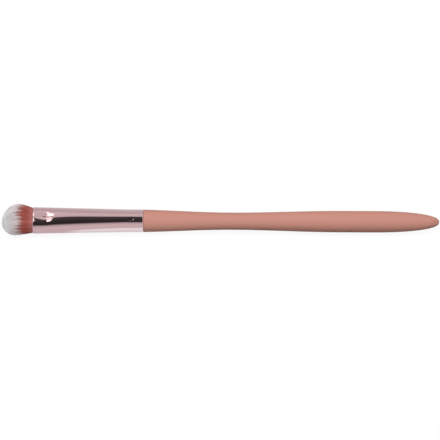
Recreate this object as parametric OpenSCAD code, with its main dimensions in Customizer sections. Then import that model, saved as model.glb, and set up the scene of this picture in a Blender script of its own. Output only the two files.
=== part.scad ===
// An eyeshadow brush: a domed tuft of fibres glued into a pressed metal
// ferrule, which is glued and crimped onto a turned wooden handle.
// It lies on its side with the tuft towards -X and the wide face up.

/* [Tuft] */
// How far the longest strands stand out of the ferrule
tuft_l = 12.6; // [10:0.1:16]
// Width of the tuft where it is fullest
tuft_w = 12.5; // [11:0.1:14]
// Thickness of the tuft where it is fullest
tuft_t = 7.6; // [6.8:0.1:9]
// How far out of the ferrule the tuft is fullest and its dome starts
tuft_full_l = 6.9; // [5:0.1:8]
// Roundness of the dome, from pointed to blunt
dome_power = 1.9; // [1.5:0.1:2.6]
// How far the longest tips lean to one side
tuft_lean = 0.75; // [0:0.05:1.2]
// How far the fullest place stands to the other side
tuft_swell = 0.42; // [0:0.02:0.6]
// Random difference in the lengths of the strands
tip_scatter = 0.25; // [0:0.05:0.4]
// Number of strands
strands = 380; // [300:10:400]
// Thickness of a strand as a share of its distance to the next one
strand_share = 0.88; // [0.6:0.02:0.92]

/* [Ferrule] */
// Length of the ferrule
ferrule_l = 42.7; // [38:0.1:55]
// Outside diameter of its round rear end
ferrule_d = 8.9; // [7.6:0.1:10.4]
// Thickness of the sheet that it is drawn from
ferrule_wall = 0.35; // [0.25:0.05:0.5]
// How much wider pressing makes the mouth than the round end
mouth_spread = 1.68; // [0.9:0.02:2.3]
// Length of the rear end that stays round
round_l = 6.6; // [6:0.1:9]
// Length of the rounded lip at the mouth
lip_l = 0.6; // [0.3:0.05:0.9]
// How far the lip turns in
lip_turn = 0.16; // [0.05:0.01:0.2]
// Length of the rounded edge at the rear
edge_l = 0.5; // [0.2:0.05:0.8]
// How far the rear edge turns in
edge_turn = 0.18; // [0.05:0.01:0.2]

/* [Press mark] */
// Distance from the mouth to the deepest place of the dent in each wide face
dent_at = 5.3; // [4.9:0.1:6]
// How far the dent lies to one side
dent_side = 1.2; // [0:0.1:1.6]
// Length over which the face sinks into it from the mouth
dent_front_l = 5; // [4:0.1:6]
// Length of its steep rear slope
dent_rear_l = 1.3; // [1:0.1:2]
// Length of the shallow furrow behind the slope
dent_tail_l = 6.5; // [5:0.1:8]
// Depth of the furrow as a share of the dent's
dent_tail_share = 0.4; // [0.2:0.05:0.6]
// Half the width of the dent
dent_half_w = 1.9; // [1.6:0.1:2.6]
// Radius along its deepest line
dent_round = 0.3; // [0.1:0.05:0.5]
// Depth of the dent
dent_depth = 0.5; // [0.2:0.02:0.56]

/* [Crimp] */
// Number of punch marks round the rear of the ferrule
punches = 3; // [2:1:6]
// Degrees from the top of the brush round to its first punch mark
punch_turn = 9; // [0:1:60]
// Distance from the rear edge to the punch marks
punch_at = 4.7; // [3:0.1:5]
// Radius of the punch's round nose
punch_r = 2.8; // [2:0.1:4]
// Depth that the punch presses the wall in
punch_depth = 0.26; // [0.1:0.02:0.4]

/* [Glue] */
// Distance from the mouth back to the face of the glue
dry_l = 3; // [2:0.1:4]
// Length of the front slice of glue, which holds the strands
slice_l = 1.2; // [0.8:0.1:1.6]
// Length of the plug of glue behind the thread that binds the roots
plug_collar_l = 0.6; // [0.3:0.1:3]
// Diameter of the thread
thread_d = 0.36; // [0.3:0.02:0.44]
// Number of turns of the thread
thread_turns = 5; // [3:1:6]
// Distance from one turn of the thread to the next
thread_pitch = 0.8; // [0.78:0.02:0.9]
// Room for glue between the tenon and the ferrule
glue_t = 0.16; // [0.14:0.02:0.5]
// Air left at each fitted face
fit_gap = 0.02; // [0.01:0.01:0.04]

/* [Handle] */
// How far the handle's shoulder lies below the ferrule's outside
shoulder_step = 0.09; // [-0.6:0.01:0.44]
// Radius of the shoulder's rounded corner
shoulder_round = 0.3; // [0.1:0.05:0.6]
// Diameter of the slim neck
neck_d = 6.68; // [5.6:0.02:7.6]
// Distance from the ferrule to the neck
neck_at = 34.3; // [24:0.1:44]
// Diameter of the straight belly
belly_d = 8.34; // [7.6:0.02:10]
// Distance from the ferrule to the start of the belly
belly_at = 76.3; // [60:0.1:90]
// Length of the straight belly
belly_l = 13.6; // [8:0.1:20]
// Length of the rounded tail
tail_l = 24.8; // [15:0.1:35]
// Roundness of the tail's end, from elliptical to blunt
tail_power = 2.5; // [2:0.1:3]
// Length of the tenon
tenon_l = 12; // [9:0.1:16]
// Chamfer on the end of the tenon
tenon_chamfer = 0.6; // [0.2:0.1:1.2]

/* [Hidden] */

// Smoothness of turned and drilled faces
$fn = 96;
// Sides of the pressed tube and of what fills it
tube_sides = 64;
// Points on a rounded edge or shoulder
round_steps = 4;
// Stretches in each curve of the handle
curve_steps = 14;
// Change of the handle's diameter per length, where it leaves the ferrule
shoulder_slope = -0.045;
// Turn from one strand to the next, the golden angle, which packs them evenly
golden_turn = 180 * (3 - sqrt(5));
// Nearest distance between strands on the golden spiral of a unit disc of one strand
spiral_share = 1.6;
// Sides of a strand and of the thread
strand_sides = 3;
thread_sides = 5;
// Points on each turn of the thread
turn_steps = 20;
// Where a strand starts to thin towards its tip, as a share of its free length
thinning_share = 0.66;
// How fast the strands flare behind the mouth
flare_power = 1.7;
// How fast the dent fades across the wide face, and how fast it fades in from
// the narrow sides
dent_power = 1.5;
side_fade = 3;
// Start of the random lengths
scatter_seed = 7;
// How far a cut runs past the face that it opens
overrun = 0.5;
// Length over which the pressed and the round tube share the wall, and how far
// each then lies inside it
lap_l = 0.5;
lap_share = 0.4;

pressed_l = ferrule_l - round_l;
bore_d = ferrule_d - 2 * ferrule_wall;
mouth_w = ferrule_d + mouth_spread;
tenon_d = bore_d - 2 * glue_t;
shoulder_d = ferrule_d - 2 * shoulder_step;
slice_end = dry_l + slice_l;
plug_at = slice_end + fit_gap;
waist_at = dent_at + dent_tail_l;
waist_end = waist_at + thread_turns * thread_pitch + thread_d + 2 * fit_gap;
waist_depth = thread_d + 2 * fit_gap;
plug_end = waist_end + plug_collar_l;
handle_l = belly_at + belly_l + tail_l;
brush_l = tuft_l + ferrule_l + handle_l;
axis_h = max(ferrule_d, shoulder_d, belly_d, tuft_t) / 2;

// Everything is drawn with the brush's axis on Z, from 0 at the ferrule's
// mouth to the tail at +Z, with the width along Y and the thickness along X
module lay_down() {
    translate([tuft_l - brush_l / 2, 0, axis_h])
        rotate([0, 90, 0])
            children();
}

function mix(a, b, share) = a + (b - a) * share;

// Outside width of the ferrule, a straight taper back to its round end
function ferrule_w(z) = mix(mouth_w, ferrule_d, min(1, max(0, z / pressed_l)));

// Outside thickness: pressing keeps the tube's girth, so what is wider is thinner
function ferrule_t(z) = sqrt(2 * pow(ferrule_d, 2) - pow(ferrule_w(z), 2));

// Depth of the dent at a place on the wide face
function dent(z, y) =
    let (
        back = z - dent_at,
        front = exp(-pow(back / dent_front_l, 2)),
        slope = exp(-pow(back / dent_rear_l, 2)),
        furrow = exp(-pow(back / dent_tail_l, 2)),
        along = back < 0 ? front : mix(slope, furrow, dent_tail_share),
        across = norm([y - dent_side, dent_round]) - dent_round
    )
    dent_depth * along * exp(-pow(across / dent_half_w, dent_power));

// How much less thick the dent makes an oval that clears it
function squeeze(z) =
    dent(min(z, dent_at), dent_side) / sqrt(1 - pow(2 * dent_side / ferrule_w(z), 2));

// A point at a depth inside the ferrule's outside, and a ring of them
function ferrule_point(z, angle, inset) =
    let (
        x = (ferrule_t(z) / 2 - inset) * cos(angle),
        y = (ferrule_w(z) / 2 - inset) * sin(angle),
        facing = min(1, max(-1, side_fade * cos(angle)))
    )
    [x - facing * dent(z, y), y, z];
function ferrule_ring(z, inset) = [
    for (i = [0 : tube_sides - 1]) ferrule_point(z, 360 * i / tube_sides, inset)
];

// Where the pressed tube has its rings: close together over the dent's rear slope
press_steps = [
    for (k = [0 : 5]) mix(lip_l, dent_at, k / 6),
    for (k = [0 : 5]) dent_at + 2 * dent_rear_l * k / 6,
    for (k = [0 : 4]) dent_at + 2 * mix(dent_rear_l, dent_tail_l, k / 5),
    for (k = [0 : 3]) mix(dent_at + 2 * dent_tail_l, pressed_l, k / 4),
    pressed_l - lap_l / 5
];

// Triangles between rings of equal count, joined in a tube
function tube_faces(rings, sides, first = 0) = [
    for (j = [0 : rings - 2], i = [0 : sides - 1])
        let (
            a = first + j * sides + i,
            b = first + j * sides + (i + 1) % sides
        )
        each [[a, a + sides, b + sides], [a, b + sides, b]]
];

// Triangles of the face over one ring, seen from below or from above
function cap_faces(start, sides, above = false) = [
    for (i = [1 : sides - 2])
        above ? [start, start + i + 1, start + i] : [start, start + i, start + i + 1]
];

// A closed solid over a list of rings
module ring_solid(rings) {
    sides = len(rings[0]);
    polyhedron(
        points = [for (ring = rings) each ring],
        faces = concat(
            tube_faces(len(rings), sides),
            cap_faces(0, sides),
            cap_faces((len(rings) - 1) * sides, sides, true)
        )
    );
}

// Sections that the tuft fills, each half its thickness and half its width
root_half = [
    ferrule_t(dry_l) / 2 - ferrule_wall - fit_gap - squeeze(slice_end),
    ferrule_w(slice_end) / 2 - ferrule_wall - fit_gap
];
mouth_half = [
    ferrule_t(0) / 2 - ferrule_wall - fit_gap - squeeze(0),
    ferrule_w(0) / 2 - ferrule_wall - fit_gap
];
full_half = [tuft_t, tuft_w] / 2;

// The section at a distance out of the mouth, flaring fast and then less
function tuft_half(out) =
    mix(full_half, mouth_half, pow(1 - min(1, out / tuft_full_l), flare_power));

// Radius of a strand in a section, from the least distance to the next strand
function strand_r(half) = strand_share * spiral_share * min(half) / sqrt(strands) / 2;

// How far out a strand ends, on a dome over the fullest place
function tip_out(share, scatter) =
    tuft_full_l + (tuft_l - tuft_full_l) * pow(1 - pow(share, dome_power), 1 / dome_power)
    - tip_scatter * scatter * share;

// How far the strands lean to one side at a distance out of the mouth
function lean(out) =
    let (share = out / tuft_l)
    tuft_lean * pow(share, 3) - 4 * tuft_swell * share * (1 - share);

// Middle of a strand in a section, where the outermost ones lie inside by r
function strand_place(half, share, angle, r) =
    [share * (half[0] - r) * cos(angle), share * (half[1] - r) * sin(angle)];

// A ring of points round a strand at a distance out of the mouth
function strand_ring(half, share, angle, out, side = 0) =
    let (r = strand_r(half), place = strand_place(half, share, angle, r))
    [
        for (k = [0 : strand_sides - 1])
            let (turn = angle + 360 * k / strand_sides)
            [place[0] + r * cos(turn), place[1] + r * sin(turn) - side, -out]
    ];

// The tip and the three rings of one strand, back to its root in the slice
function strand_points(share, angle, scatter) =
    let (
        tip = tip_out(share, scatter),
        tip_place = strand_place(full_half, share, angle, 0),
        thin = thinning_share * tip
    )
    [
        [tip_place[0], tip_place[1] - lean(tip), -tip],
        each strand_ring(tuft_half(thin), share, angle, thin, lean(thin)),
        each strand_ring(mouth_half, share, angle, 0),
        each strand_ring(root_half, share, angle, -dry_l - slice_l / 2)
    ];

function strand_faces(first) = [
    for (i = [0 : strand_sides - 1])
        [first, first + 1 + i, first + 1 + (i + 1) % strand_sides],
    each tube_faces(3, strand_sides, first + 1),
    each cap_faces(first + 1 + 2 * strand_sides, strand_sides, true)
];

// All strands, on a golden spiral from the middle of the tuft outwards
module strand_bundle() {
    scatter = rands(0, 1, strands, scatter_seed);
    points_each = 1 + 3 * strand_sides;
    polyhedron(
        points = [
            for (i = [0 : strands - 1])
                each strand_points(sqrt((i + 0.5) / strands), i * golden_turn, scatter[i])
        ],
        faces = [for (i = [0 : strands - 1]) each strand_faces(i * points_each)]
    );
}

// Where glue from one place to another has its rings, so that it follows the wall
function filling_steps(from, to) = [
    from,
    for (z = press_steps) if (z > from + fit_gap && z < to - fit_gap) z,
    to
];

// The tuft: strands that stand in a slice of the glue
module bristles() {
    color("#d9c9c6")
        lay_down()
            union() {
                strand_bundle();
                ring_solid([
                    for (z = filling_steps(dry_l, slice_end)) ferrule_ring(z, ferrule_wall + fit_gap)
                ]);
            }
}

// Middle line of the thread, wound in the waist of the plug
thread_path = [
    for (i = [0 : thread_turns * turn_steps])
        ferrule_point(
            waist_at + fit_gap + thread_d / 2 + thread_pitch * i / turn_steps,
            360 * i / turn_steps,
            ferrule_wall + fit_gap + waist_depth / 2
        )
];
thread_gap = min([
    for (i = [0 : len(thread_path) - 1 - turn_steps / 2], j = [i + turn_steps / 2 : len(thread_path) - 1])
        norm(thread_path[j] - thread_path[i])
]) - thread_d;

// The thread that ties the roots together
module binding_thread() {
    echo(thread_gap = thread_gap);
    last = len(thread_path) - 1;
    color("#efe9df")
        lay_down()
            ring_solid([
                for (i = [0 : last])
                    let (
                        along = thread_path[min(i + 1, last)] - thread_path[max(i - 1, 0)],
                        out = [thread_path[i][0], thread_path[i][1], 0],
                        side = cross(along, out) / norm(cross(along, out)),
                        up = cross(side, along) / norm(cross(side, along))
                    )
                    [
                        for (k = [0 : thread_sides - 1])
                            let (turn = 360 * k / thread_sides)
                            thread_path[i] + thread_d / 2 * (up * cos(turn) - side * sin(turn))
                    ]
            ]);
}

// The plug of glue that fills the ferrule behind the slice
module epoxy_plug() {
    skin = ferrule_wall + fit_gap;
    steps = [
        for (z = filling_steps(plug_at, waist_at)) [z, skin],
        [waist_at, skin + waist_depth],
        [waist_end, skin + waist_depth],
        [waist_end, skin],
        [plug_end, skin]
    ];
    color("#e2c9a0")
        lay_down()
            ring_solid([for (step = steps) ferrule_ring(step[0], step[1])]);
}

// The part of the ferrule that is pressed flat towards the mouth
module pressed_tube() {
    rings = [
        for (k = [round_steps : -1 : 1])
            let (angle = 90 * k / round_steps)
            ferrule_ring(lip_l * (1 - sin(angle)), lip_turn * (1 - cos(angle))),
        for (z = press_steps) ferrule_ring(z, 0),
        ferrule_ring(pressed_l + lap_l, ferrule_wall * lap_share),
        ferrule_ring(pressed_l + lap_l, ferrule_wall * (1 - lap_share)),
        for (k = [len(press_steps) - 1 : -1 : 0]) ferrule_ring(press_steps[k], ferrule_wall),
        ferrule_ring(0, ferrule_wall)
    ];
    points = [for (ring = rings) each ring];
    count = len(points);
    polyhedron(
        points = points,
        faces = [for (face = tube_faces(len(rings) + 1, tube_sides)) [for (i = face) i % count]]
    );
}

// The round rear end, with its edge turned in a little
module round_tube() {
    rotate_extrude()
        polygon([
            [bore_d / 2, pressed_l],
            [bore_d / 2 + ferrule_wall * lap_share, pressed_l - lap_l],
            [ferrule_d / 2 - ferrule_wall * lap_share, pressed_l - lap_l],
            [ferrule_d / 2, pressed_l],
            for (k = [0 : round_steps])
                let (angle = 90 * k / round_steps)
                [
                    ferrule_d / 2 - edge_turn * (1 - cos(angle)),
                    ferrule_l - edge_l * (1 - sin(angle))
                ],
            [bore_d / 2, ferrule_l]
        ]);
}

// Balls where the punches press, grown by what lies between punch and part
module punch_balls(growth) {
    for (k = [0 : punches - 1])
        rotate([0, 0, 180 + punch_turn + 360 * k / punches])
            translate([ferrule_d / 2 - punch_depth + punch_r, 0, ferrule_l - punch_at])
                sphere(r = punch_r + growth);
}

// The ferrule: one drawn tube, pressed at the mouth and punched at the rear
module ferrule() {
    color("#b99aa2")
        lay_down()
            difference() {
                union() {
                    pressed_tube();
                    round_tube();
                    intersection() {
                        punch_balls(ferrule_wall);
                        translate([0, 0, pressed_l + overrun])
                            cylinder(h = round_l - 2 * overrun, d = ferrule_d - ferrule_wall);
                    }
                }
                punch_balls(0);
            }
}

// The skin of glue between the tenon and the ferrule
module handle_glue() {
    color("#e8dcc0")
        lay_down()
            difference() {
                translate([0, 0, ferrule_l - tenon_l + tenon_chamfer])
                    cylinder(h = tenon_l - tenon_chamfer - edge_l, d = bore_d - 2 * fit_gap);
                translate([0, 0, ferrule_l - tenon_l - overrun])
                    cylinder(h = tenon_l + 2 * overrun, d = tenon_d + 2 * fit_gap);
                punch_balls(ferrule_wall + fit_gap);
            }
}

function hermite(u, from, slope, to) =
    (2 * pow(u, 3) - 3 * pow(u, 2) + 1) * from
    + (pow(u, 3) - 2 * pow(u, 2) + u) * slope
    + (3 * pow(u, 2) - 2 * pow(u, 3)) * to;

// Outline of the turned handle: tenon, shoulder, neck, belly and tail
function handle_outline() = [
    [0, ferrule_l - tenon_l],
    [tenon_d / 2 - tenon_chamfer, ferrule_l - tenon_l],
    [tenon_d / 2, ferrule_l - tenon_l + tenon_chamfer],
    [tenon_d / 2, ferrule_l + fit_gap],
    for (k = [0 : round_steps - 1])
        let (angle = 90 * k / round_steps)
        [
            shoulder_d / 2 - shoulder_round * (1 - sin(angle)),
            ferrule_l + fit_gap + shoulder_round * (1 - cos(angle))
        ],
    for (k = [0 : curve_steps - 1])
        let (start = fit_gap + shoulder_round, u = k / curve_steps)
        [
            hermite(u, shoulder_d, shoulder_slope * (neck_at - start), neck_d) / 2,
            ferrule_l + mix(start, neck_at, u)
        ],
    for (k = [0 : curve_steps])
        [
            hermite(k / curve_steps, neck_d, 0, belly_d) / 2,
            ferrule_l + mix(neck_at, belly_at, k / curve_steps)
        ],
    for (k = [0 : curve_steps])
        let (angle = 90 * k / curve_steps)
        [
            belly_d / 2 * pow(cos(angle), 2 / tail_power),
            ferrule_l + belly_at + belly_l + tail_l * sin(angle)
        ]
];

// The lacquered wooden handle, bitten by the punches where they reach its tenon
module handle() {
    color("#cd9486")
        lay_down()
            difference() {
                rotate_extrude()
                    polygon(handle_outline());
                punch_balls(ferrule_wall + fit_gap);
            }
}

bristles();
binding_thread();
epoxy_plug();
ferrule();
handle_glue();
handle();
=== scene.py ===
from math import cos, pi, radians, sin, tau

import bpy
import numpy as np
from mathutils import Matrix, Vector


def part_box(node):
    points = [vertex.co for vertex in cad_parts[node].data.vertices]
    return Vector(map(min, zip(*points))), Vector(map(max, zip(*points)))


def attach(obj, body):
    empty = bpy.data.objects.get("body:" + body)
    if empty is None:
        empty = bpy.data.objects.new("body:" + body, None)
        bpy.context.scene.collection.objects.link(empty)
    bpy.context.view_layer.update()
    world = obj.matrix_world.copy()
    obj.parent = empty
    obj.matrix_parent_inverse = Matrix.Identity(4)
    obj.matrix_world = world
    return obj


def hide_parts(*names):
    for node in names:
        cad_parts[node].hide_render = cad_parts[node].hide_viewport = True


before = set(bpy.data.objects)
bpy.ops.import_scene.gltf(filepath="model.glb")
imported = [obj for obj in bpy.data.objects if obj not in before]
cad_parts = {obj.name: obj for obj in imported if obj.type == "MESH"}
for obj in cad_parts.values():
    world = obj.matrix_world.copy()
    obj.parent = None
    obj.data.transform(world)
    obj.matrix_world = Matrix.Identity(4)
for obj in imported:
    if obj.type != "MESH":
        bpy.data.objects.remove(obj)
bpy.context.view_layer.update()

# An eyeshadow brush that lies along X, with its tuft towards -X and its wide
# face up. Every length is in metres, apart from the lens and sensor of the camera.
mm = 0.001

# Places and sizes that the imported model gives
ferrule_low, ferrule_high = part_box("ferrule")
tail_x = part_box("handle")[1].x
mouth_x = ferrule_low.x
ferrule_l = ferrule_high.x - mouth_x
ferrule_d = ferrule_high.z - ferrule_low.z
axis_z = (ferrule_low.z + ferrule_high.z) / 2

# Ferrule
ferrule_wall = 0.35 * mm
mouth_w = 10.58 * mm
round_l = 6.6 * mm
lip_l = 0.6 * mm
lip_turn = 0.16 * mm
edge_l = 0.5 * mm
edge_turn = 0.18 * mm
inner_round = 0.08 * mm
pressed_l = ferrule_l - round_l
ferrule_sides = 256
# How much closer together the points lie on the wide faces
face_detail_share = 0.45

# Mark that the press leaves on both wide faces
dent_at = 5.3 * mm
dent_side = 1.2 * mm
dent_front_l = 5.0 * mm
dent_rear_l = 1.3 * mm
dent_tail_l = 6.5 * mm
dent_tail_share = 0.4
dent_half_w = 1.9 * mm
dent_round = 0.3 * mm
dent_depth = 0.5 * mm
dent_power = 1.5
# How fast the mark comes in from the narrow sides
side_fade = 3.0

# Fine crease that runs along it, in the outside of the sheet only
crease_at = 5.1 * mm
crease_l = 1.86 * mm
crease_side = 0.43 * mm
crease_turn = -0.065
crease_half_w = 0.34 * mm
crease_round = 0.05 * mm
crease_depth = 0.1 * mm

# Punch marks round the rear
punches = 3
punch_turn = radians(9)
punch_at = 4.7 * mm
punch_r = 2.8 * mm
punch_depth = 0.26 * mm
punch_softness = 0.03 * mm

# Points along the ferrule's section: round the lip, over the dent, up to the round part, up to
# the punch marks, over them, up to the rear edge, round it, along the bore and round its corners
lip_points = 12
dent_points = 110
pressed_points = 50
round_points = 6
punch_points = 36
rear_points = 8
edge_points = 10
bore_points = 60
corner_points = 4
# How far the finely divided stretches reach behind the dent and to both sides of the punch marks
dent_reach = 3 * dent_rear_l
punch_reach = 1.4 * mm

# Tuft, whose section is given as thickness and width
tuft_l = 12.6 * mm
tuft_half = np.array([7.6, 12.5]) * mm / 2
tuft_full_l = 6.9 * mm
dome_power = 1.9
tuft_lean = 0.75 * mm
tuft_swell = 0.42 * mm
flare_power = 1.7
fibre_root = -3.4 * mm
fit_gap = 0.02 * mm
# For soft light: the share of the whole tuft's normal in a fibre's, how much that normal is turned
# up, and its own heights from which that starts and is full
tuft_softness = 0.6
upward_softness = 1.9
upward_fade = (-0.7, -0.25)

# Handle
shoulder_d = 8.72 * mm
shoulder_round = 0.3 * mm
shoulder_slope = -0.045
neck_d = 6.68 * mm
neck_at = 34.3 * mm
belly_d = 8.34 * mm
belly_at = 76.3 * mm
belly_l = 13.6 * mm
tail_power = 2.5
tenon_d = 7.88 * mm
tenon_l = 12.0 * mm
tenon_chamfer = 0.6 * mm
tail_l = tail_x - mouth_x - ferrule_l - belly_at - belly_l
handle_sides = 192
# Points along its outline: round the shoulder, along each curve, along the belly and the tail
shoulder_points = 8
curve_points = 70
belly_points = 20
tail_points = 90
# Small mark in the lacquer near the end of the tail: its place and the radii between which it fades
tail_mark = (tail_x - 1.9 * mm, -0.5 * mm, axis_z + 1.75 * mm)
tail_mark_r = 0.35 * mm
tail_mark_end = 0.75 * mm


def mix(a, b, share):
    return a + (b - a) * share


def smooth(low, high, value):
    """From 0 at low to 1 at high, with soft ends."""
    share = np.clip((value - low) / (high - low), 0, 1)
    return share * share * (3 - 2 * share)


def in_frame(along, up, side):
    """Points in the row frame, from distances behind the mouth, above the axis and to +Y."""
    return np.stack(np.broadcast_arrays(mouth_x + along, side, axis_z + up), -1)


def new_piece(name, points, faces, node):
    """A mesh piece that rides with the brush and stands for one CAD node."""
    mesh = bpy.data.meshes.new(name)
    mesh.from_pydata(points.reshape(-1, 3).tolist(), [], faces)
    mesh.shade_smooth()
    piece = bpy.data.objects.new(name, mesh)
    bpy.context.scene.collection.objects.link(piece)
    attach(piece, "root")
    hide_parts(node)
    return piece


def point_values(piece, name, values):
    """Keeps one number for each point of the mesh, which its material reads."""
    attribute = piece.data.attributes.new(name, "FLOAT", "POINT")
    attribute.data.foreach_set("value", np.ascontiguousarray(values, np.float32).ravel())


def ring_quads(rings, sides, joined=False):
    """Quads between neighbouring rings of points, the last one joined to the first if asked."""
    row = np.arange(rings if joined else rings - 1)[:, None]
    column = np.arange(sides)[None, :]
    after = (column + 1) % sides
    here = row * sides
    next_ring = (row + 1) % rings * sides
    corners = (here + column, here + after, next_ring + after, next_ring + column)
    return np.stack(corners, -1).reshape(-1, 4).tolist()


# Ferrule

def ferrule_width(z):
    return mix(mouth_w, ferrule_d, np.clip(z / pressed_l, 0, 1))


def ferrule_thickness(z):
    """Pressing keeps the tube's girth, so what is wider is thinner."""
    return np.sqrt(2 * ferrule_d**2 - ferrule_width(z) ** 2)


def press_mark(z, y):
    """The face sinks slowly from the mouth, then rises steeply to a shallow furrow."""
    back = z - dent_at
    reaches = (dent_front_l, dent_rear_l, dent_tail_l)
    front, slope, furrow = (np.exp(-((back / reach) ** 2)) for reach in reaches)
    along = np.where(back < 0, front, mix(slope, furrow, dent_tail_share))
    across = np.hypot(y - dent_side, dent_round) - dent_round
    return dent_depth * along * np.exp(-((across / dent_half_w) ** dent_power))


def crease(z, y):
    """How deep the fine crease is, which runs nearly along the brush."""
    along = z - crease_at
    across = np.hypot(y - crease_side - crease_turn * along, crease_round) - crease_round
    return crease_depth * np.exp(-((along / crease_l) ** 2)) * np.exp(-across / crease_half_w)


def punch_marks(z, angle):
    """How far the round noses of the punches press the wall in."""
    depth = 0
    radius = ferrule_d / 2
    for k in range(punches):
        turn = (angle - pi - punch_turn - tau * k / punches + pi) % tau - pi
        along = z - (ferrule_l - punch_at)
        across = radius * turn
        bowl = punch_depth - along**2 / 2 / punch_r - across**2 / 2 * (1 / punch_r + 1 / radius)
        depth = depth + punch_softness * np.logaddexp(0, bowl / punch_softness)
    return depth


def ferrule_surface(z, inset, angle):
    """A point of the wall at a depth below its outside. Angle 0 is down and a right angle is +Y."""
    down = (ferrule_thickness(z) / 2 - inset) * np.cos(angle)
    side = (ferrule_width(z) / 2 - inset) * np.sin(angle)
    facing = np.clip(side_fade * np.cos(angle), -1, 1)
    outer = np.clip(1 - inset / ferrule_wall, 0, 1)
    down = down - facing * (press_mark(z, side) + outer * crease(z, side))
    pressed = 1 - punch_marks(z, angle) / (ferrule_d / 2)
    return in_frame(z, -down * pressed, side * pressed)


def ferrule_profile():
    """The wall's section as (distance behind the mouth, depth below the outside), once round."""
    lip = np.linspace(pi / 2, 0, lip_points)
    edge = np.linspace(0, pi / 2, edge_points)
    corner = np.linspace(0, pi / 2, corner_points)
    dent_end = dent_at + dent_reach
    punch_start = ferrule_l - punch_at - punch_reach
    punch_end = ferrule_l - punch_at + punch_reach
    outside = np.concatenate([
        np.linspace(lip_l, dent_end, dent_points)[1:],
        np.linspace(dent_end, pressed_l, pressed_points)[1:],
        np.linspace(pressed_l, punch_start, round_points)[1:],
        np.linspace(punch_start, punch_end, punch_points)[1:],
        np.linspace(punch_end, ferrule_l - edge_l, rear_points)[1:-1],
    ])
    inside = np.linspace(ferrule_l - inner_round, inner_round, bore_points)
    z = np.concatenate([
        lip_l * (1 - np.sin(lip)),
        outside,
        ferrule_l - edge_l * (1 - np.sin(edge)),
        ferrule_l - inner_round * (1 - np.cos(corner)),
        inside[1:-1],
        inner_round * (1 - np.sin(corner)),
    ])
    inset = np.concatenate([
        lip_turn * (1 - np.cos(lip)),
        np.zeros(len(outside)),
        edge_turn * (1 - np.cos(edge)),
        ferrule_wall - inner_round * (1 - np.sin(corner)),
        np.full(len(inside) - 2, ferrule_wall),
        ferrule_wall - inner_round * (1 - np.cos(corner)),
    ])
    return z, inset


def make_ferrule():
    z, inset = ferrule_profile()
    even = np.arange(ferrule_sides) * tau / ferrule_sides
    angle = even - face_detail_share * np.sin(2 * even) / 2
    points = ferrule_surface(z[:, None], inset[:, None], angle[None, :])
    faces = ring_quads(len(z), ferrule_sides, joined=True)
    return new_piece("ferrule_tube", points, faces, "ferrule")


# Handle

def hermite(u, start, slope, end):
    """A smooth curve between two values, with a slope at its start and none at its end."""
    return (
        (2 * u**3 - 3 * u**2 + 1) * start
        + (u**3 - 2 * u**2 + u) * slope
        + (3 * u**2 - 2 * u**3) * end
    )


def handle_profile():
    """Distance behind the ferrule and radius, from the tenon's end to the tail's."""
    corner = np.linspace(0, pi / 2, shoulder_points)[:-1]
    tail = np.linspace(0, pi / 2, tail_points)
    start = fit_gap + shoulder_round
    u = np.linspace(0, 1, curve_points)[:-1]
    z = np.concatenate([
        [-tenon_l, -tenon_l + tenon_chamfer, fit_gap],
        fit_gap + shoulder_round * (1 - np.cos(corner)),
        mix(start, neck_at, u),
        mix(neck_at, belly_at, u),
        belly_at + belly_l * np.linspace(0, 1, belly_points)[:-1],
        belly_at + belly_l + tail_l * np.sin(tail),
    ])
    shoulder_drop = shoulder_slope * (neck_at - start)
    radius = np.concatenate([
        [tenon_d / 2 - tenon_chamfer, tenon_d / 2, tenon_d / 2],
        shoulder_d / 2 - shoulder_round * (1 - np.sin(corner)),
        hermite(u, shoulder_d, shoulder_drop, neck_d) / 2,
        hermite(u, neck_d, 0, belly_d) / 2,
        np.full(belly_points - 1, belly_d / 2),
        belly_d / 2 * np.cos(tail) ** (2 / tail_power),
    ])
    return z, radius


def make_handle():
    z, radius = handle_profile()
    angle = np.arange(handle_sides) * tau / handle_sides
    z = z[:-1, None] + ferrule_l
    radius = radius[:-1, None]
    body = in_frame(z, -radius * np.cos(angle), radius * np.sin(angle)).reshape(-1, 3)
    ends = in_frame(np.array([ferrule_l - tenon_l, tail_x - mouth_x]), 0, 0)
    points = np.concatenate([body, ends])
    faces = ring_quads(len(z), handle_sides)
    first, last = len(body), len(body) + 1
    rear = len(body) - handle_sides
    for i in range(handle_sides):
        after = (i + 1) % handle_sides
        faces.append((first, after, i))
        faces.append((last, rear + i, rear + after))
    return new_piece("handle_body", points, faces, "handle")


# Tuft

# Every random draw comes from this seed, always in the same order
seed = 11
fibres = 4800
fibre_sides = 3
fibre_r = 0.046 * mm
thinnest_share, thickest_share = 0.8, 1.15
angle_scatter = 0.005
tip_scatter = 0.3 * mm
inner_scatter_share = 0.5
wave_size = 0.07 * mm
wave_power = 1.5
# How far out the dye reaches in the middle, how much further to +Y, and how much less at both sides
dye_l = 5.95 * mm
dye_lean = -0.1 * mm
dye_crown = 1.2 * mm
# How much the dye's end varies by clump and by fibre, and half the length that it takes to end
dye_clump = 0.75 * mm
dye_scatter = 0.45 * mm
dye_blur = 0.6 * mm
# A longer, fainter fading of it, and a paler, greyer band at the roots that is painted sheen
fade_l = 4.5 * mm
fade_share = 0.14
painted_root_sheen = 0.09
painted_root_sheen_l = 2.5 * mm
# The whiter ends: where they start and where they are full, in from the tip of the tuft
end_start = 4.2 * mm
end_full = 1.2 * mm
# How much the shade varies by clump and by fibre
clump_shade = 0.6
fibre_shade = 0.5
# Waves that make up the clumps: how many, the range of how often they go round, and how far they
# turn at most on the way in
clump_waves = 9
clump_turns = (3, 26)
clump_twist = 9
# A darker streak along the middle
streak_depth = 0.95
streak_half_share = 0.17
# Where each ring of a fibre lies, as shares of its free length, and its share of the full radius
ring_shares = np.array([0.13, 0.3, 0.52, 0.74, 0.92])
thin_shares = np.array([1, 1, 0.95, 0.8, 0.5])


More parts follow.
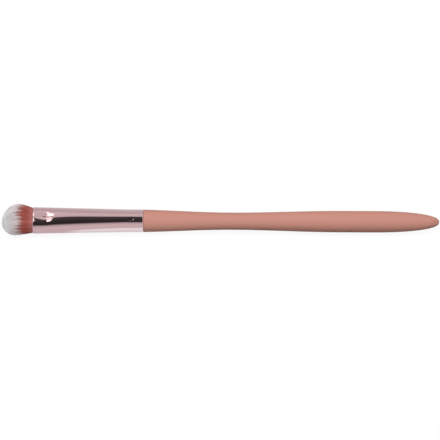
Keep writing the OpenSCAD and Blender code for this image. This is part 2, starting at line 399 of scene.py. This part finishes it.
def tuft_section(out):
    """Half the thickness and half the width of the tuft at a distance out of the mouth."""
    inner = np.array([ferrule_thickness(0.0), mouth_w]) / 2 - ferrule_wall - fit_gap
    flare = (1 - np.clip(out / tuft_full_l, 0, 1)) ** flare_power
    half = mix(tuft_half, inner, flare[..., None])
    sag = np.sqrt(1 - (2 * dent_side / mouth_w) ** 2)
    half[..., 0] -= press_mark(np.clip(-out, 0, dent_at), dent_side) / sag * flare
    return half


def tip_out(share, scatter):
    """How far out a fibre ends, from its share of the way out to the tuft's side."""
    dome = (1 - share**dome_power) ** (1 / dome_power)
    shortened = tip_scatter * scatter * mix(inner_scatter_share, 1, share)
    return tuft_full_l + (tuft_l - tuft_full_l) * dome - shortened


def lean(out):
    """How far the tuft leans to -Y at a distance out of the mouth."""
    share = np.clip(out / tuft_l, 0, 1)
    return tuft_lean * share**3 - 4 * tuft_swell * share * (1 - share)


def tuft_normals(out, place, own):
    """Normals between a fibre's own and those of the whole tuft, so that the hair looks soft."""
    section = tuft_section(out)
    dome_l = tuft_l - tuft_full_l
    whole = np.stack([
        -np.clip(out - tuft_full_l, 0, None) / dome_l**2,
        -place[..., 0] / section[..., 0] ** 2,
        (place[..., 1] + lean(out)) / section[..., 1] ** 2,
    ], -1)
    whole /= np.linalg.norm(whole, axis=-1, keepdims=True) + 1e-9
    whole[..., 1] += upward_softness * smooth(*upward_fade, whole[..., 1])
    normals = mix(own, whole, tuft_softness)
    return normals / np.linalg.norm(normals, axis=-1, keepdims=True)


def clumps(random, angle, share):
    """A smooth random value round the tuft and into it, which makes neighbouring fibres alike."""
    value = np.zeros_like(angle)
    for _ in range(clump_waves):
        turns = random.integers(*clump_turns)
        start = random.uniform(0, tau)
        value += np.cos(turns * angle + start + random.uniform(-clump_twist, clump_twist) * share)
    return value / np.sqrt(clump_waves / 2)


def fibre_lines(random, share, angle):
    """Distance out and (down, side) of each fibre's rings and tip, and the rings' radii."""
    tip = tip_out(share, random.uniform(0, 1, fibres))
    free = np.concatenate([ring_shares, [1]])[None, :] * tip[:, None]
    out = np.concatenate([np.full((fibres, 1), fibre_root), np.zeros((fibres, 1)), free], 1)
    radius = fibre_r * random.uniform(thinnest_share, thickest_share, (fibres, 1))
    radius = radius * np.concatenate([[1, 1], thin_shares])
    waviness = wave_size * (np.clip(out, 0, None) / tuft_l)[..., None] ** wave_power
    wave = random.normal(0, 1, (fibres, 1, 2)) * waviness
    towards = np.stack([np.cos(angle), np.sin(angle)], -1)[:, None, :]
    place = share[:, None, None] * (tuft_section(out) - fibre_r) * towards + wave
    place[..., 1] -= lean(out)
    return out, place, radius


def fibre_faces(rings):
    """Faces of all the fibres, each with this many rings and a tip."""
    count = rings * fibre_sides + 1
    quads = np.array(ring_quads(rings, fibre_sides))[:, ::-1]
    first = (np.arange(fibres) * count)[:, None, None]
    last_ring = (rings - 1) * fibre_sides
    corner = range(fibre_sides)
    ends = [[last_ring + (i + 1) % fibre_sides, last_ring + i, count - 1] for i in corner]
    ends.append(list(corner))
    faces = (quads[None] + first).reshape(-1, 4).tolist()
    return faces + (np.array(ends)[None] + first).reshape(-1, 3).tolist()


def on_points(values):
    """Values of the rings and the tip, repeated for each point of the mesh."""
    return np.concatenate([np.repeat(values[:, :-1], fibre_sides, 1), values[:, -1:]], 1)


def dye(random, share, angle, point_out):
    """How pale each point is, from the dye and from painted sheen at the roots, and how light the
    shade of each fibre.
    """
    side_share = share * np.sin(angle)
    dye_end = dye_l + dye_lean * side_share - dye_crown * side_share**2
    dye_end = dye_end + dye_clump * clumps(random, angle, share)
    dye_end = dye_end + random.normal(0, dye_scatter, fibres)
    past_dye = point_out - dye_end[:, None]
    tone = mix(smooth(-dye_blur, dye_blur, past_dye), smooth(0, fade_l, past_dye), fade_share)
    # Near the mouth the fibres lean towards the pale colours, which paints a sheen there
    tone = np.maximum(tone, painted_root_sheen * (1 - smooth(0, painted_root_sheen_l, point_out)))
    shade = clump_shade * clumps(random, angle, share) + fibre_shade * random.normal(0, 1, fibres)
    shade -= streak_depth * np.exp(-((side_share / streak_half_share) ** 2))
    return tone, shade


def make_tuft():
    random = np.random.default_rng(seed)
    # The fibres fill the section evenly along a spiral of golden angles
    share = np.sqrt((np.arange(fibres) + 0.5) / fibres)
    angle = np.arange(fibres) * pi * (3 - np.sqrt(5))
    angle += random.uniform(-angle_scatter, angle_scatter, fibres)
    out, place, radius = fibre_lines(random, share, angle)

    turn = angle[:, None, None] + np.arange(fibre_sides) * tau / fibre_sides
    down = place[:, :-1, :1] + radius[..., None] * np.cos(turn)
    side = place[:, :-1, 1:] + radius[..., None] * np.sin(turn)
    rings = in_frame(-out[:, :-1, None], -down, side).reshape(fibres, -1, 3)
    tips = in_frame(-out[:, -1:], -place[:, -1:, 0], place[:, -1:, 1])
    points = np.concatenate([rings, tips], 1)
    faces = fibre_faces(radius.shape[1])
    piece = new_piece("tuft_fibres", points, faces, "bristles")

    # Normals in the order that in_frame takes: along X, up and to +Y
    own = np.stack([np.zeros_like(turn), -np.cos(turn), np.sin(turn)], -1)
    own = np.broadcast_to(own, (*radius.shape, fibre_sides, 3)).reshape(fibres, -1, 3)
    own = np.concatenate([own, np.broadcast_to([-1.0, 0, 0], (fibres, 1, 3))], 1)
    point_out = on_points(out)
    normals = tuft_normals(point_out, on_points(place), own)[..., [0, 2, 1]]
    piece.data.normals_split_custom_set_from_vertices(normals.reshape(-1, 3).tolist())

    tone, shade = dye(random, share, angle, point_out)
    point_values(piece, "pale", tone)
    point_values(piece, "end", smooth(tuft_l - end_start, tuft_l - end_full, point_out))
    point_values(piece, "shade", np.repeat(shade[:, None], points.shape[1], 1))
    return piece


# Materials

# The two colours between which each finish varies
dyed_colours = ((0.249, 0.053, 0.044), (0.504, 0.139, 0.109))
pale_colours = ((0.80, 0.75, 0.753), (0.89, 0.845, 0.85))
end_colour = (0.885, 0.885, 0.89)
plating_colours = ((0.545, 0.372, 0.385), (0.575, 0.398, 0.415))
lacquer_colours = ((0.497, 0.232, 0.183), (0.53, 0.253, 0.2))
mark_colour = (0.4, 0.19, 0.15)
# Range that most of a noise lies in, and how far from 0 most fibres' shade lies
noise_low, noise_high = 0.3, 0.7
shade_reach = 1.6
# Scale, detail and stretch of each noise
fibre_noise = (900,)
drawn_noise = (1500, 4, (0.012, 1, 1))
cloud_noise = (120, 3)
grain_noise = (260, 4, (0.08, 1, 1))
speck_noise = (2600, 2)
# Roughness from low to high, and how far a hidden piece's varies either way
fibre_rough = (0.42, 0.6)
plating_rough = (0.035, 0.075)
lacquer_rough = (0.42, 0.56)
plain_rough_spread = 0.05
# Heights of the fine bumps
drawn_bump = 0.0012 * mm
lacquer_bump = 0.004 * mm
plain_bump = 0.01 * mm
# Gloss of the fibres and of the lacquer. Gloss over the fibres' softened normals would leave dark
# specks in the tuft.
fibre_specular = 0
lacquer_specular = 0.06
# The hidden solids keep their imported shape. Each gets a material's name, two colours, a scale of
# noise and a roughness.
hidden_finishes = {
    "binding_thread": ("thread", (0.78, 0.74, 0.66), (0.86, 0.83, 0.77), 4000, 0.8),
    "epoxy_plug": ("epoxy", (0.60, 0.44, 0.24), (0.68, 0.53, 0.32), 300, 0.3),
    "handle_glue": ("glue", (0.72, 0.64, 0.48), (0.80, 0.73, 0.58), 500, 0.5),
}


def new_material(name):
    material = bpy.data.materials.new(name)
    material.use_nodes = True
    return material, material.node_tree.nodes, material.node_tree.links


def set_material(piece, material):
    piece.data.materials.clear()
    piece.data.materials.append(material)


def object_noise(nodes, links, scale, detail=3.0, stretch=(1, 1, 1)):
    """Noise in the object's own space, stretched if asked."""
    place = nodes.new("ShaderNodeTexCoord")
    mapping = nodes.new("ShaderNodeMapping")
    mapping.inputs["Scale"].default_value = stretch
    noise = nodes.new("ShaderNodeTexNoise")
    noise.inputs["Scale"].default_value = scale
    noise.inputs["Detail"].default_value = detail
    links.new(place.outputs["Object"], mapping.inputs["Vector"])
    links.new(mapping.outputs["Vector"], noise.inputs["Vector"])
    return noise.outputs["Fac"]


def map_range(nodes, links, value, low, high, to_low, to_high):
    node = nodes.new("ShaderNodeMapRange")
    names = ("From Min", "From Max", "To Min", "To Max")
    for name, number in zip(names, (low, high, to_low, to_high)):
        node.inputs[name].default_value = number
    links.new(value, node.inputs["Value"])
    return node.outputs["Result"]


def noise_range(nodes, links, noise, low, high):
    """A noise spread between two values."""
    return map_range(nodes, links, noise, noise_low, noise_high, low, high)


def mix_colours(nodes, links, share, low, high):
    """A blend of two colours, each a value or a socket."""
    node = nodes.new("ShaderNodeMix")
    node.data_type = "RGBA"
    links.new(share, node.inputs["Factor"])
    for socket, colour in ((node.inputs[6], low), (node.inputs[7], high)):
        if isinstance(colour, bpy.types.NodeSocket):
            links.new(colour, socket)
        else:
            socket.default_value = (*colour, 1)
    return node.outputs[2]


def bump(nodes, links, height, distance):
    node = nodes.new("ShaderNodeBump")
    node.inputs["Strength"].default_value = 1
    node.inputs["Distance"].default_value = distance
    links.new(height, node.inputs["Height"])
    return node.outputs["Normal"]


def attribute(nodes, name):
    """A number that point_values kept."""
    node = nodes.new("ShaderNodeAttribute")
    node.attribute_name = name
    return node.outputs["Fac"]


def distance_to(nodes, links, place):
    """How far a point of the object lies from a place."""
    node = nodes.new("ShaderNodeVectorMath")
    node.operation = "DISTANCE"
    links.new(nodes.new("ShaderNodeTexCoord").outputs["Object"], node.inputs[0])
    node.inputs[1].default_value = place
    return node.outputs["Value"]


def fibre_material():
    material, nodes, links = new_material("two_tone_fibre")
    shader = nodes["Principled BSDF"]
    shade = attribute(nodes, "shade")
    spread = map_range(nodes, links, shade, -shade_reach, shade_reach, 0, 1)
    dyed = mix_colours(nodes, links, spread, *dyed_colours)
    pale = mix_colours(nodes, links, spread, *pale_colours)
    pale = mix_colours(nodes, links, attribute(nodes, "end"), pale, end_colour)
    colour = mix_colours(nodes, links, attribute(nodes, "pale"), dyed, pale)
    links.new(colour, shader.inputs["Base Color"])
    rough = object_noise(nodes, links, *fibre_noise)
    links.new(noise_range(nodes, links, rough, *fibre_rough), shader.inputs["Roughness"])
    shader.inputs["Specular IOR Level"].default_value = fibre_specular
    return material


def metal_material():
    material, nodes, links = new_material("rose_plating")
    shader = nodes["Principled BSDF"]
    shader.inputs["Metallic"].default_value = 1
    drawn = object_noise(nodes, links, *drawn_noise)
    cloud = object_noise(nodes, links, *cloud_noise)
    colour = mix_colours(nodes, links, cloud, *plating_colours)
    links.new(colour, shader.inputs["Base Color"])
    links.new(noise_range(nodes, links, cloud, *plating_rough), shader.inputs["Roughness"])
    links.new(bump(nodes, links, drawn, drawn_bump), shader.inputs["Normal"])
    return material


def lacquer_material():
    material, nodes, links = new_material("matte_lacquer")
    shader = nodes["Principled BSDF"]
    grain = object_noise(nodes, links, *grain_noise)
    speck = object_noise(nodes, links, *speck_noise)
    colour = mix_colours(nodes, links, grain, *lacquer_colours)
    distance = distance_to(nodes, links, tail_mark)
    mark = map_range(nodes, links, distance, tail_mark_r, tail_mark_end, 1, 0)
    colour = mix_colours(nodes, links, mark, colour, mark_colour)
    links.new(colour, shader.inputs["Base Color"])
    links.new(noise_range(nodes, links, speck, *lacquer_rough), shader.inputs["Roughness"])
    links.new(bump(nodes, links, speck, lacquer_bump), shader.inputs["Normal"])
    shader.inputs["Specular IOR Level"].default_value = lacquer_specular
    return material


def plain_material(name, low, high, scale, rough):
    """A hidden piece's finish: two near colours mottled together, with a fine bump."""
    material, nodes, links = new_material(name)
    shader = nodes["Principled BSDF"]
    mottle = object_noise(nodes, links, scale)
    links.new(mix_colours(nodes, links, mottle, low, high), shader.inputs["Base Color"])
    low_rough, high_rough = rough - plain_rough_spread, rough + plain_rough_spread
    links.new(noise_range(nodes, links, mottle, low_rough, high_rough), shader.inputs["Roughness"])
    links.new(bump(nodes, links, mottle, plain_bump), shader.inputs["Normal"])
    return material


# Stage

# The camera looks down from the near side, with the brush a little below the middle of the
# picture. Its lens and sensor are in millimetres.
view_elevation = radians(74)
view_roll = radians(0.235)
view_distance = 0.711
view_drop = 0.45 * mm
lens = 150
sensor = 36


def make_camera():
    data = bpy.data.cameras.new("camera")
    data.lens = lens
    data.sensor_width = sensor
    camera = bpy.data.objects.new("camera", data)
    bpy.context.scene.collection.objects.link(camera)
    towards = Vector((0, -cos(view_elevation), sin(view_elevation)))
    up = Vector((0, sin(view_elevation), cos(view_elevation)))
    target = Vector((0, 0, axis_z)) + view_drop * up
    camera.matrix_world = (
        Matrix.Translation(target + view_distance * towards)
        @ Matrix((Vector((1, 0, 0)), up, towards)).transposed().to_4x4()
        @ Matrix.Rotation(view_roll, 4, "Z")
    )
    bpy.context.scene.camera = camera


# What a mirror along X sees from one side of the table, over the top, to the other: degrees from
# the zenith towards +Y, and brightness. A dark gap lies overhead, between two pale sides.
studio_stops = (
    (-180, 0.97), (-90, 0.97), (-56, 1.0), (-46, 0.9), (-36, 0.72), (-29, 0.2),
    (-23, 0.035), (0, 0.06), (25, 0.105), (28, 0.9), (45, 1.02), (57, 1.02),
    (62.5, 0.64), (68, 0.93), (77, 0.8), (180, 0.9),
)
# Tilt from the plane across the brush, in degrees towards +X, with the brightness of the two ends
# and with the share of that brightness in what is mirrored
end_stops = ((-90, 0.8), (-40, 0.9), (-33, 1.0), (34, 1.0), (41, 1.6), (60, 1.2), (90, 0.8))
end_shares = ((-90, 1), (-38, 1), (-32, 0), (33, 0), (40, 1), (90, 1))
# Light of the world on what is matt
ambient = 0.04
white = (1, 1, 1)


def maths(nodes, links, operation, *values):
    """A sum or function of values, each a number or a socket."""
    node = nodes.new("ShaderNodeMath")
    node.operation = operation
    for socket, value in zip(node.inputs, values):
        if isinstance(value, bpy.types.NodeSocket):
            links.new(value, socket)
        else:
            socket.default_value = value
    return node.outputs[0]


def ramp(nodes, links, degrees, stops, span):
    """Brightness at an angle, from stops given in degrees within -span to span."""
    node = nodes.new("ShaderNodeValToRGB")
    elements = node.color_ramp.elements
    while len(elements) > 1:
        elements.remove(elements[-1])
    top = max(level for _, level in stops)
    for i, (angle, level) in enumerate(stops):
        place = (angle + span) / (2 * span)
        element = elements[0] if i == 0 else elements.new(place)
        element.position = place
        element.color = (level / top,) * 3 + (1,)
    links.new(map_range(nodes, links, degrees, -span, span, 0, 1), node.inputs["Fac"])
    return maths(nodes, links, "MULTIPLY", node.outputs["Color"], top)


def make_world():
    """White behind the brush, a studio in what it mirrors, and an even light on what is matt."""
    world = bpy.data.worlds.new("studio")
    world.use_nodes = True
    bpy.context.scene.world = world
    nodes, links = world.node_tree.nodes, world.node_tree.links
    direction = nodes.new("ShaderNodeTexCoord").outputs["Generated"]
    split = nodes.new("ShaderNodeSeparateXYZ")
    links.new(direction, split.inputs[0])
    x, y, z = split.outputs
    across = maths(nodes, links, "DEGREES", maths(nodes, links, "ARCTAN2", y, z))
    tilt = maths(nodes, links, "DEGREES", maths(nodes, links, "ARCSINE", x))
    sides = ramp(nodes, links, across, studio_stops, 180)
    ends = ramp(nodes, links, tilt, end_stops, 90)
    share = ramp(nodes, links, tilt, end_shares, 90)
    mirrored = mix_colours(nodes, links, share, sides, ends)
    path = nodes.new("ShaderNodeLightPath")
    lit = mix_colours(nodes, links, path.outputs["Is Diffuse Ray"], mirrored, (ambient,) * 3)
    seen = mix_colours(nodes, links, path.outputs["Is Camera Ray"], lit, white)
    links.new(seen, nodes["Background"].inputs["Color"])


# The overhead lamp, which gives nearly all the light
lamp_place = Vector((0, 0.09, 0.75))
lamp_size = (0.9, 0.24)
lamp_power = 7.6
# Two small bright cards at one height above the table: low corner, high corner and brightness
card_height = 68 * mm
cards = {
    "card_near": ((-108.5 * mm, 1 * mm), (-79 * mm, 28 * mm), 2.2),
    "card_far": ((-111.5 * mm, 41 * mm), (-79.5 * mm, 55.5 * mm), 2.0),
}
floor_half = 1.5
# Share of its own glow in the table's look, which keeps the shadow faint
floor_glow = 0.94
# Colour of the table in the light that it gives back to what lies on it
bounce = (0.42, 0.39, 0.39)
# Colours of the table as the metal mirrors it: near the ferrule's near side, where it glows
# brighter as a painted reflection, and elsewhere. The first comes in from far to near between two
# Y, and to the rear between two X.
painted_reflection_glow = (1.35, 1.65, 1.65)
plain_side = (0.93, 0.95, 0.95)
painted_reflection_glow_y = (-2 * mm, -14 * mm)
painted_reflection_glow_x = (-61 * mm, -54 * mm)


def make_floor():
    """A pale table with a faint shadow, glowing brighter in what the metal mirrors of its near
    side, which paints a reflection there.
    """
    mesh = bpy.data.meshes.new("floor")
    corners = [(-floor_half, -floor_half, 0), (floor_half, -floor_half, 0)]
    corners += [(floor_half, floor_half, 0), (-floor_half, floor_half, 0)]
    mesh.from_pydata(corners, [], [(0, 1, 2, 3)])
    floor = bpy.data.objects.new("floor", mesh)
    bpy.context.scene.collection.objects.link(floor)
    material, nodes, links = new_material("table")
    nodes.remove(nodes["Principled BSDF"])
    position = nodes.new("ShaderNodeNewGeometry").outputs["Position"]
    split = nodes.new("ShaderNodeSeparateXYZ")
    links.new(position, split.inputs[0])
    # The patch of brighter glow that paints a reflection on the ferrule's near side
    near = map_range(nodes, links, split.outputs["Y"], *painted_reflection_glow_y, 0, 1)
    rear = map_range(nodes, links, split.outputs["X"], *painted_reflection_glow_x, 0, 1)
    near = maths(nodes, links, "MULTIPLY", near, rear)
    path = nodes.new("ShaderNodeLightPath")
    mirrored = mix_colours(nodes, links, near, plain_side, painted_reflection_glow)
    glow_colour = mix_colours(nodes, links, path.outputs["Is Camera Ray"], mirrored, white)
    glow = nodes.new("ShaderNodeEmission")
    links.new(glow_colour, glow.inputs["Color"])
    cloth = nodes.new("ShaderNodeBsdfDiffuse")
    cloth_colour = mix_colours(nodes, links, path.outputs["Is Diffuse Ray"], white, bounce)
    links.new(cloth_colour, cloth.inputs["Color"])
    direct = maths(nodes, links, "SUBTRACT", 1.0, path.outputs["Is Diffuse Ray"])
    shader = nodes.new("ShaderNodeMixShader")
    links.new(maths(nodes, links, "MULTIPLY", direct, floor_glow), shader.inputs["Fac"])
    links.new(cloth.outputs[0], shader.inputs[1])
    links.new(glow.outputs[0], shader.inputs[2])
    links.new(shader.outputs[0], nodes["Material Output"].inputs["Surface"])
    set_material(floor, material)


def make_lamp(name, place, size, power):
    data = bpy.data.lights.new(name, "AREA")
    data.shape = "RECTANGLE"
    data.size, data.size_y = size
    data.energy = power
    lamp = bpy.data.objects.new(name, data)
    lamp.location = place
    bpy.context.scene.collection.objects.link(lamp)
    return lamp


def make_overhead():
    """A lamp turned to the brush, which the metal doesn't mirror."""
    lamp = make_lamp("overhead", lamp_place, lamp_size, lamp_power)
    lamp.rotation_euler = (-lamp_place).to_track_quat("-Z", "Y").to_euler()
    lamp.visible_glossy = False


def make_card(name, low, high, glow):
    """A small bright card level over the mouth, which shows in gloss alone."""
    size = [high[i] - low[i] for i in (0, 1)]
    middle = [(high[i] + low[i]) / 2 for i in (0, 1)]
    power = glow * size[0] * size[1] * pi
    lamp = make_lamp(name, (*middle, card_height), size, power)
    lamp.visible_diffuse = False


tuft = make_tuft()
set_material(tuft, fibre_material())
ferrule = make_ferrule()
set_material(ferrule, metal_material())
handle = make_handle()
set_material(handle, lacquer_material())
for node, finish in hidden_finishes.items():
    set_material(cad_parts[node], plain_material(*finish))

make_camera()
make_world()
make_floor()
make_overhead()
for name, (low, high, glow) in cards.items():
    make_card(name, low, high, glow)

bpy.context.scene.view_settings.view_transform = "Standard"
